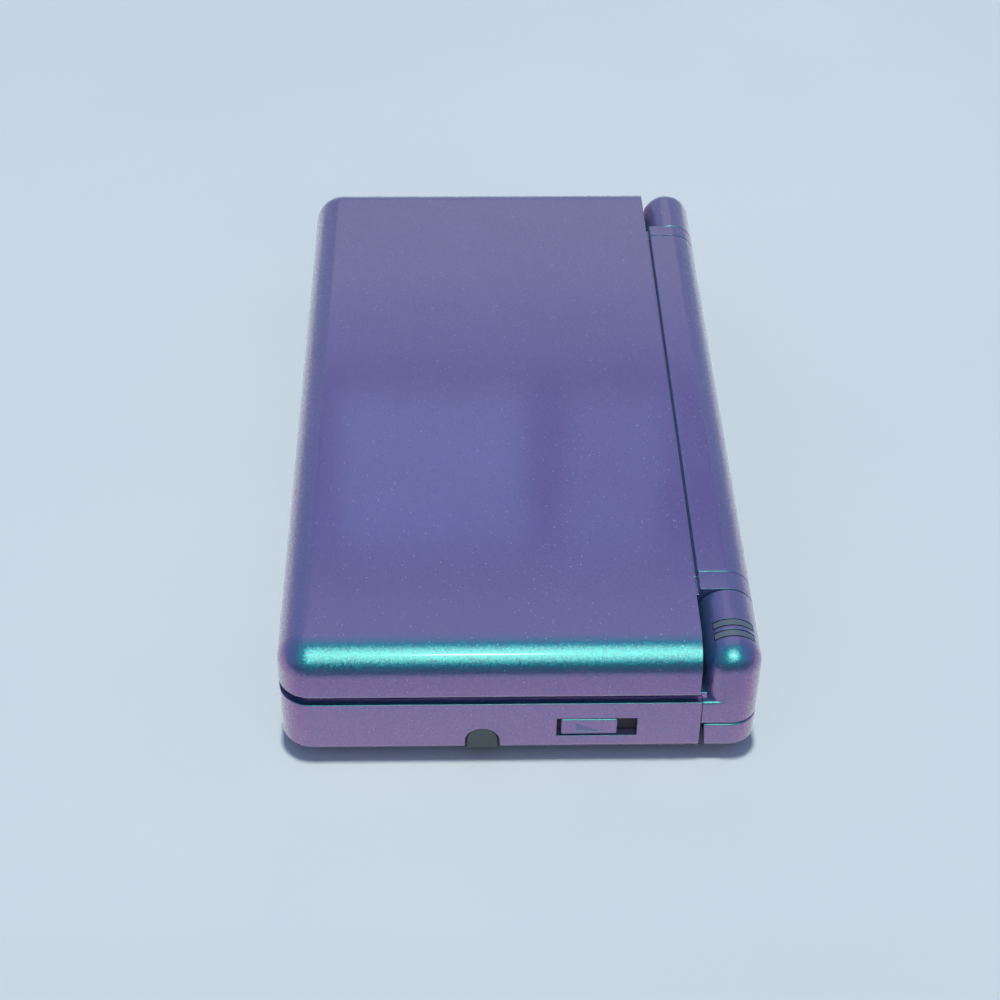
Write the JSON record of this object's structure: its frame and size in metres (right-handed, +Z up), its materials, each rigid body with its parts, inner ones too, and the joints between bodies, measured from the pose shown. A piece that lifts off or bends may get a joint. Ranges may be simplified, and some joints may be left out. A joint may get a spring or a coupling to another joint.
{
  "type": "clamshell handheld game console",
  "caption": "Clamshell handheld game console, lid closed: hinged lid with a screen, control base with pad, push buttons, shoulder buttons, switch, slots and stylus.",
  "frame": {"origin": "on the table under the middle of the closed case", "axes": "+X to the player's right, +Y to the hinge at the back, +Z up"},
  "size_m": [0.133, 0.0738, 0.0215],
  "materials": {
    "shell_paint": "colour-shift violet paint under gloss clear coat",
    "face_paint": "violet paint, satin gloss",
    "button_plastic": "gloss moulded plastic",
    "black_plastic": "fine texture",
    "board_laminate": "satin solder mask",
    "screen_glass": "gloss",
    "lens_clear": "gloss",
    "pad_rubber": "matte",
    "foot_rubber": "matte",
    "steel": "bright plated",
    "screw_steel": "blackened",
    "battery_wrap": "satin",
    "light_plastic": "frosted clear",
    "ribbon_film": "satin polyimide",
    "stylus_plastic": "satin",
    "switch_plastic": "satin"
  },
  "bodies": {
    "base": {"base_lower_shell": "shell_paint", "base_upper_shell": "shell_paint", "battery_cover": "shell_paint", "battery_cover_screw": "screw_steel", "battery_pack": "battery_wrap", "main_board": "board_laminate", "processor_shield": "steel", "wireless_module": "steel", "lower_screen": "screen_glass", "touch_panel": "screen_glass", "action_button_pad": "pad_rubber", "dpad_pad": "pad_rubber", "menu_button_pad": "pad_rubber", "power_switch_unit": "switch_plastic", "volume_control_unit": "switch_plastic", "left_shoulder_pin": "steel", "right_shoulder_pin": "steel", "left_shoulder_spring": "steel", "right_shoulder_spring": "steel", "left_shoulder_switch": "switch_plastic", "right_shoulder_switch": "switch_plastic", "cartridge_connector": "black_plastic", "game_card_slot": "steel", "headphone_jack": "black_plastic", "charging_socket": "steel", "power_light_guide": "light_plastic", "charge_light_guide": "light_plastic", "rubber_feet": "foot_rubber", "base_screws": "screw_steel", "hinge_cartridge": "steel", "hinge_journal": "steel", "display_ribbon_base": "ribbon_film"},
    "lid": {"lid_outer_shell": "shell_paint", "lid_inner_shell": "face_paint", "upper_screen": "screen_glass", "upper_screen_lens": "lens_clear", "left_speaker": "black_plastic", "right_speaker": "black_plastic", "microphone": "steel", "hinge_cam": "steel", "lid_screws": "screw_steel", "lid_bumpers": "foot_rubber", "display_ribbon_lid": "ribbon_film"},
    "stylus": {"stylus": "stylus_plastic"},
    "slot_cover": {"cartridge_slot_cover": "shell_paint"},
    "dpad_rocker": {"dpad_pivot": "switch_plastic"},
    "dpad": {"dpad": "button_plastic"},
    "action_right": {"action_button_right": "button_plastic"},
    "action_front": {"action_button_front": "button_plastic"},
    "action_back": {"action_button_back": "button_plastic"},
    "action_left": {"action_button_left": "button_plastic"},
    "start": {"start_button": "button_plastic"},
    "select": {"select_button": "button_plastic"},
    "power": {"power_slider": "shell_paint"},
    "volume": {"volume_slider": "button_plastic"},
    "left_shoulder": {"left_shoulder_button": "shell_paint"},
    "right_shoulder": {"right_shoulder_button": "shell_paint"}
  },
  "joints": [
    {"name": "lid_hinge", "type": "hinge", "parent": "base", "child": "lid", "pos_m": [0, 0.03245, 0.0164], "axis": [-1, 0, 0], "range_deg": [0, 180]},
    {"name": "dpad_tilt_front_back", "type": "hinge", "parent": "base", "child": "dpad_rocker", "pos_m": [-0.049, 0.004, 0.00793], "axis": [1, 0, 0], "range_deg": [-3, 3], "stiffness_Nm_per_rad": 0.15},
    {"name": "dpad_tilt_left_right", "type": "hinge", "parent": "dpad_rocker", "child": "dpad", "pos_m": [-0.049, 0.004, 0.00793], "axis": [0, 1, 0], "range_deg": [-3, 3], "stiffness_Nm_per_rad": 0.15},
    {"name": "action_right_press", "type": "slide", "parent": "base", "child": "action_right", "axis": [0, 0, -1], "range_m": [0, 0.0008], "stiffness_N_per_m": 750, "springref_m": -0.0003},
    {"name": "action_front_press", "type": "slide", "parent": "base", "child": "action_front", "axis": [0, 0, -1], "range_m": [0, 0.0008], "stiffness_N_per_m": 750, "springref_m": -0.0003},
    {"name": "action_back_press", "type": "slide", "parent": "base", "child": "action_back", "axis": [0, 0, -1], "range_m": [0, 0.0008], "stiffness_N_per_m": 750, "springref_m": -0.0003},
    {"name": "action_left_press", "type": "slide", "parent": "base", "child": "action_left", "axis": [0, 0, -1], "range_m": [0, 0.0008], "stiffness_N_per_m": 750, "springref_m": -0.0003},
    {"name": "start_press", "type": "slide", "parent": "base", "child": "start", "axis": [0, 0, -1], "range_m": [0, 0.0005], "stiffness_N_per_m": 800, "springref_m": -0.0003},
    {"name": "select_press", "type": "slide", "parent": "base", "child": "select", "axis": [0, 0, -1], "range_m": [0, 0.0005], "stiffness_N_per_m": 800, "springref_m": -0.0003},
    {"name": "power_slide", "type": "slide", "parent": "base", "child": "power", "axis": [0, 1, 0], "range_m": [0, 0.0025], "stiffness_N_per_m": 300, "springref_m": -0.0008},
    {"name": "volume_slide", "type": "slide", "parent": "base", "child": "volume", "axis": [1, 0, 0], "range_m": [-0.004, 0.004]},
    {"name": "left_shoulder_press", "type": "hinge", "parent": "base", "child": "left_shoulder", "pos_m": [-0.042, 0.033, 0.0034], "axis": [0, 0, 1], "range_deg": [0, 1.2], "stiffness_Nm_per_rad": 1, "springref_deg": -1.15},
    {"name": "right_shoulder_press", "type": "hinge", "parent": "base", "child": "right_shoulder", "pos_m": [0.042, 0.033, 0.0034], "axis": [0, 0, -1], "range_deg": [0, 1.2], "stiffness_Nm_per_rad": 1, "springref_deg": -1.15},
    {"name": "stylus_slide", "type": "slide", "parent": "base", "child": "stylus", "axis": [1, 0, 0], "range_m": [0, 0.088]},
    {"name": "slot_cover_slide", "type": "slide", "parent": "base", "child": "slot_cover", "axis": [0, -1, 0], "range_m": [0, 0.025]}
  ]
}
